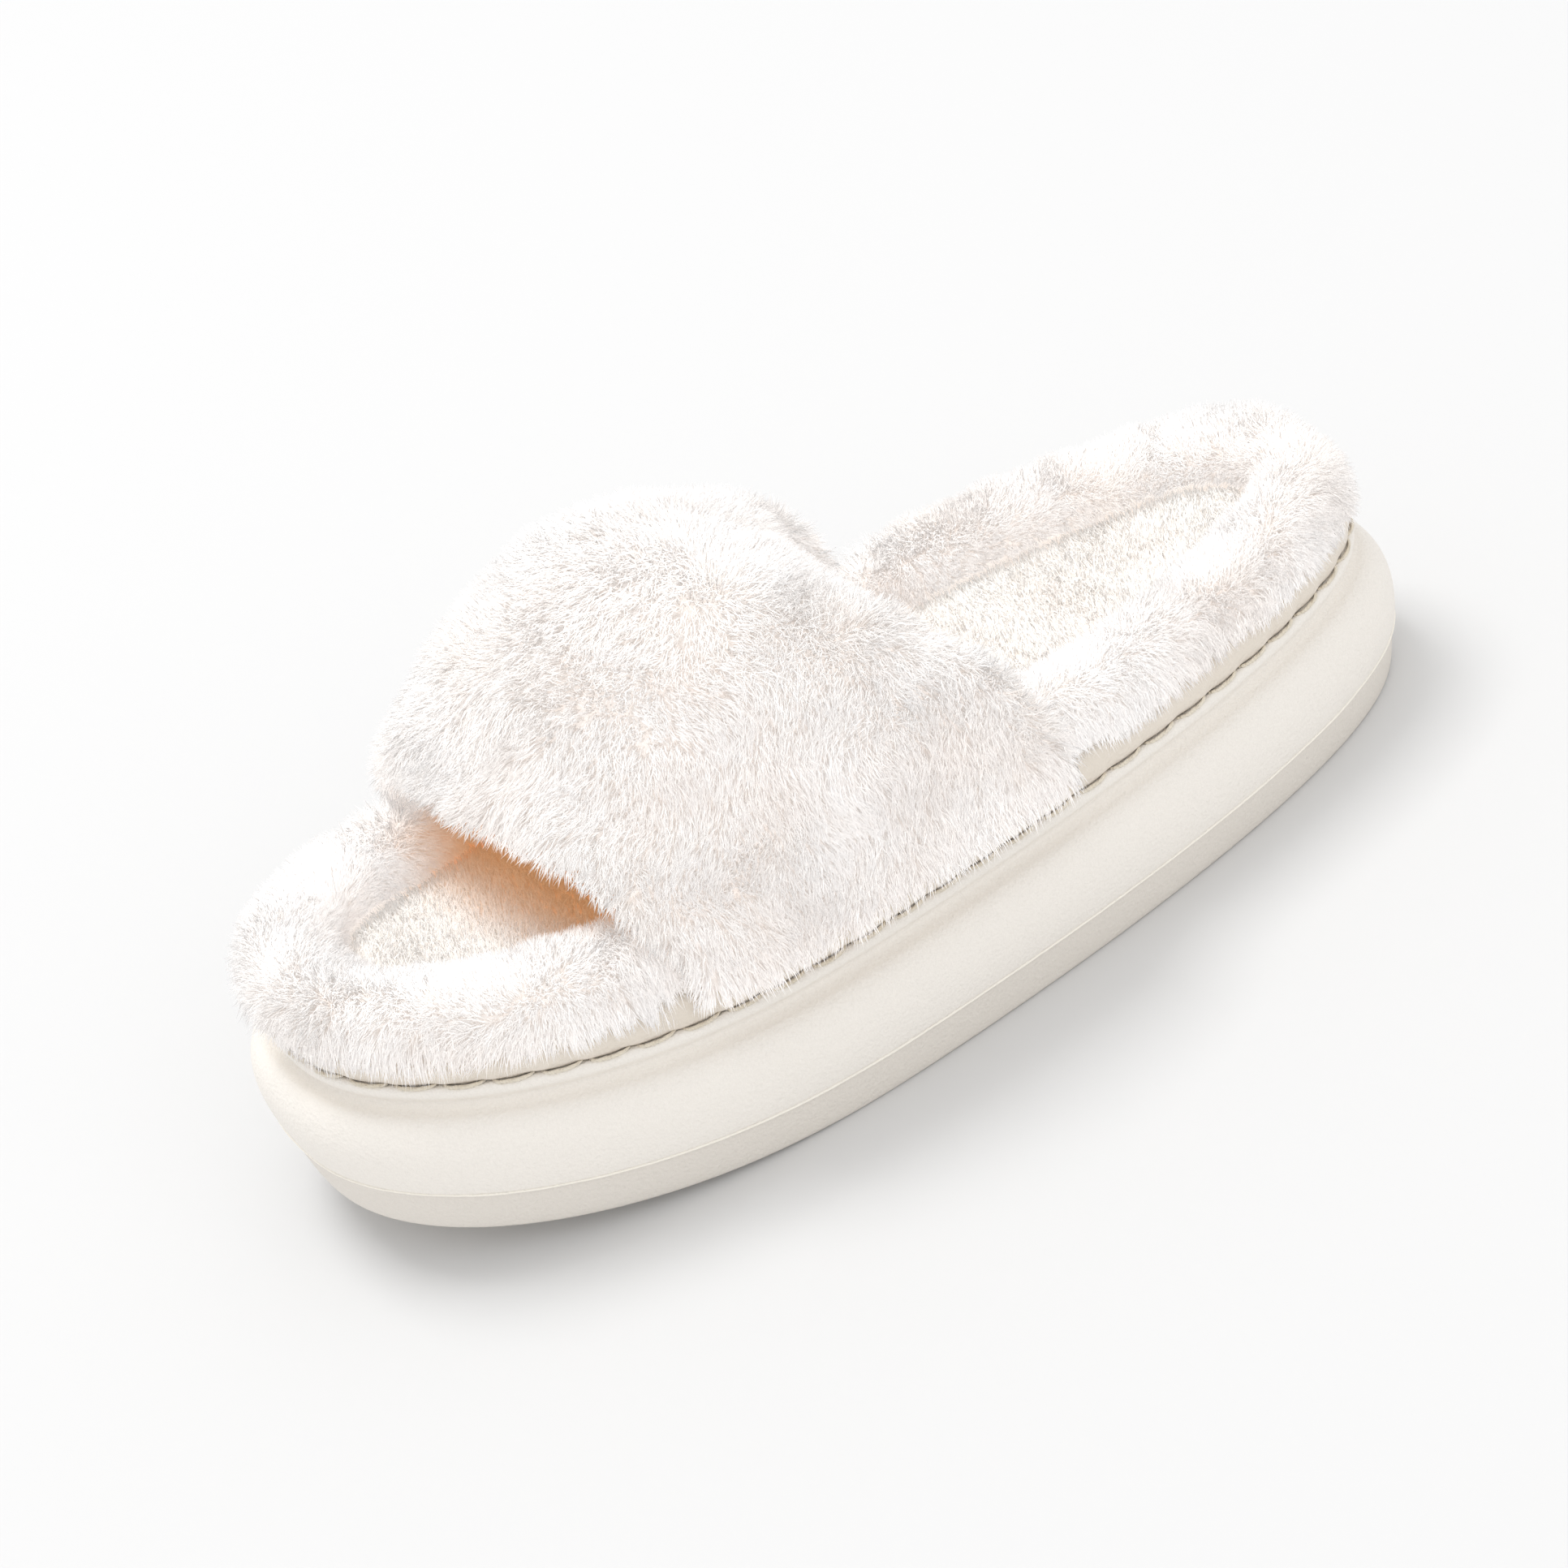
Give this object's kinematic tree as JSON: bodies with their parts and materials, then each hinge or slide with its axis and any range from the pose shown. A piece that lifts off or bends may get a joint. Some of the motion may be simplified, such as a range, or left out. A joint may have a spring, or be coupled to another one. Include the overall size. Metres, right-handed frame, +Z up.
{
  "type": "house slipper",
  "caption": "Open-toe house slipper for the left foot: thick moulded foam sole, padded fur rim round a plush footbed, wide padded fur strap over the forefoot.",
  "frame": {"origin": "centre of the bounding box in X and Y, on the ground under the sole", "axes": "+Z up, +Y from the toe to the heel, +X towards the outer (lateral) side of the left foot"},
  "size_m": [0.107, 0.268, 0.1097],
  "materials": {
    "sole_foam": "matte moulded foam, off-white",
    "rand": "smooth synthetic leather, beige",
    "thick_thread": "twisted sewing thread, cream",
    "fine_thread": "fine sewing thread, cream",
    "fibre_board": "pressed fibre board",
    "soft_foam": "open-cell foam, pale yellow",
    "insole_pile": "short dense plush, cream",
    "rim_pile": "long soft imitation fur, warm white",
    "strap_pile": "long soft imitation fur, warm white",
    "lining_pile": "imitation fur lining, warm white, tan in its own shade",
    "backing_cloth": "knitted backing cloth"
  },
  "bodies": {
    "root": {"eva_sole": "sole_foam", "rand_strip": "rand", "sidewall_stitches": "thick_thread", "lasting_board": "fibre_board", "footbed_foam": "soft_foam", "insole_plush": "insole_pile", "insole_seam_thread": "fine_thread", "rim_foam": "soft_foam", "rim_fur": "rim_pile", "strap_fur": "strap_pile", "strap_foam": "soft_foam", "strap_lining": "lining_pile", "strap_front_thread": "fine_thread", "strap_rear_thread": "fine_thread", "strap_margin_lateral": "backing_cloth", "strap_margin_medial": "backing_cloth"}
  },
  "joints": []
}
